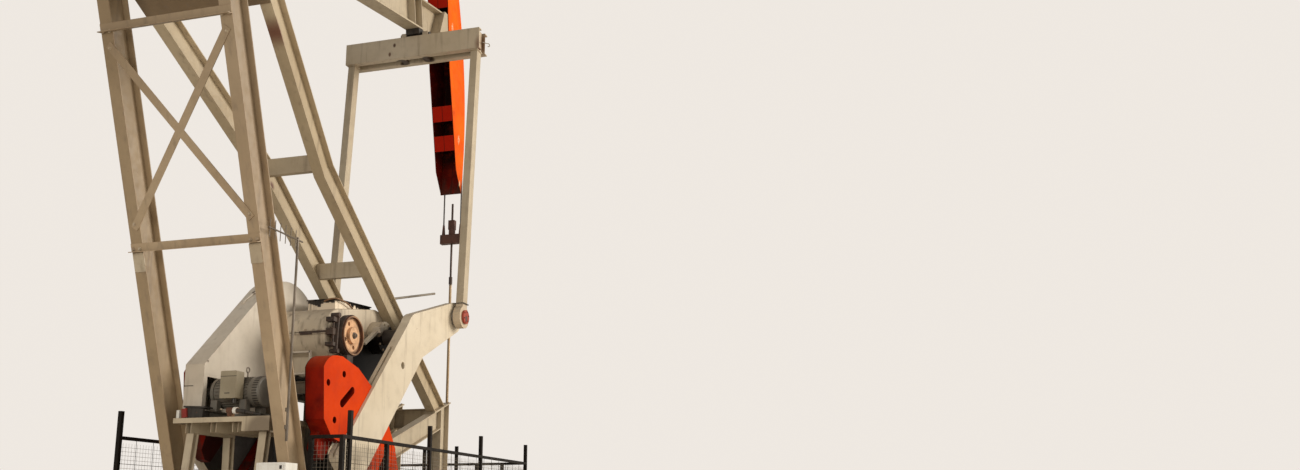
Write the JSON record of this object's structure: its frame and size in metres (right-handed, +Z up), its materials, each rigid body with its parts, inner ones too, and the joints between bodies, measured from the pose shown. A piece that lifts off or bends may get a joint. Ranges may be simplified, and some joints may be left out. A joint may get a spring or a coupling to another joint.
{
  "type": "front-mounted beam pumping unit",
  "caption": "Steel pumping unit for an oil well: walking beam on a braced post, cranks with counterweights, gear reducer, horsehead with rope bridle and rod, motor and fence",
  "frame": {"origin": "on the ground under the crankshaft, in the middle plane of the unit", "axes": "+X points forward to the well, +Y to the left of the unit, +Z up"},
  "size_m": [9.1352, 2.77, 11.3686],
  "materials": {
    "frame_paint": "sun-bleached beige paint over rust",
    "gearbox_paint": "grey-beige paint with oil film",
    "crank_paint": "pale beige paint",
    "orange_paint": "orange paint, dark red inside",
    "bare_steel": "worn steel",
    "drum_iron": "rusty cast iron",
    "wire_rope": "greased wire rope",
    "motor_paint": "grey paint, dusty",
    "cabinet_paint": "off-white paint",
    "guard_paint": "black paint"
  },
  "bodies": {
    "frame": {"antenna": "cabinet_paint", "base_crossbeams": "frame_paint", "base_rails": "frame_paint", "belt_guard": "frame_paint", "brake_band": "drum_iron", "control_box": "cabinet_paint", "front_crossbeam": "frame_paint", "front_head_plate": "frame_paint", "front_leg_left": "frame_paint", "front_leg_right": "frame_paint", "front_posts": "frame_paint", "front_rungs": "frame_paint", "front_struts": "frame_paint", "gearbox_case": "gearbox_paint", "gearbox_cover": "gearbox_paint", "gearbox_lid": "gearbox_paint", "gearbox_stand": "frame_paint", "guard_arms": "frame_paint", "guard_front": "guard_paint", "guard_left": "guard_paint", "guard_rear": "guard_paint", "guard_right": "guard_paint", "motor": "motor_paint", "motor_fan_cover": "motor_paint", "motor_platform": "frame_paint", "motor_rails": "motor_paint", "platform_legs": "frame_paint", "post_head": "frame_paint", "rear_braces": "frame_paint", "rear_crossbars": "frame_paint", "rear_leg_left": "frame_paint", "rear_leg_right": "frame_paint", "saddle_bearings": "frame_paint", "standoff_arm": "frame_paint", "terminal_box": "motor_paint"},
    "cranks": {"crankshaft": "bare_steel", "crank_left": "crank_paint", "crank_right": "crank_paint", "crank_pins": "bare_steel", "weights_left": "orange_paint", "weights_right": "orange_paint"},
    "input": {"input_shaft": "bare_steel", "brake_drum": "drum_iron"},
    "beam": {"walking_beam": "frame_paint", "saddle_hub": "frame_paint", "head_socket": "frame_paint", "horsehead": "orange_paint", "head_cables": "wire_rope", "equalizer_hub": "frame_paint"},
    "pitmans": {"equalizer": "frame_paint", "pitman_left": "frame_paint", "pitman_right": "frame_paint", "pin_bearings": "frame_paint"},
    "carrier": {"carrier_bar": "bare_steel", "rod_clamp": "bare_steel", "polished_rod": "bare_steel", "bridle_cables": "wire_rope"}
  },
  "joints": [
    {"name": "beam_swing", "type": "hinge", "parent": "frame", "child": "beam", "pos_m": [-4.75, 0, 8.55], "axis": [0, -1, 0], "range_deg": [-19.8, 6.3]},
    {"name": "pitman_swing", "type": "hinge", "parent": "beam", "child": "pitmans", "pos_m": [1.6, 0, 9.775], "axis": [0, -1, 0], "range_deg": [-6.4, 19.9]},
    {"name": "carrier_travel", "type": "slide", "parent": "frame", "child": "carrier", "axis": [0, 0, 1], "range_m": [-2.7795, 0.8864], "deforming": ["bridle_cables"]},
    {"name": "crank_turn", "type": "hinge", "parent": "frame", "child": "cranks", "pos_m": [0, 0, 4.22], "axis": [0, 1, 0], "continuous": true},
    {"name": "input_turn", "type": "hinge", "parent": "frame", "child": "input", "pos_m": [-1.04, 0, 4.07], "axis": [0, 1, 0], "continuous": true}
  ],
  "couplings": [
    {"joint": "pitman_swing", "follows": "beam_swing", "ratio": -1},
    {"joint": "carrier_travel", "follows": "beam_swing", "m_per_rad": 8.0343},
    {"joint": "input_turn", "follows": "crank_turn", "ratio": 28.67}
  ]
}
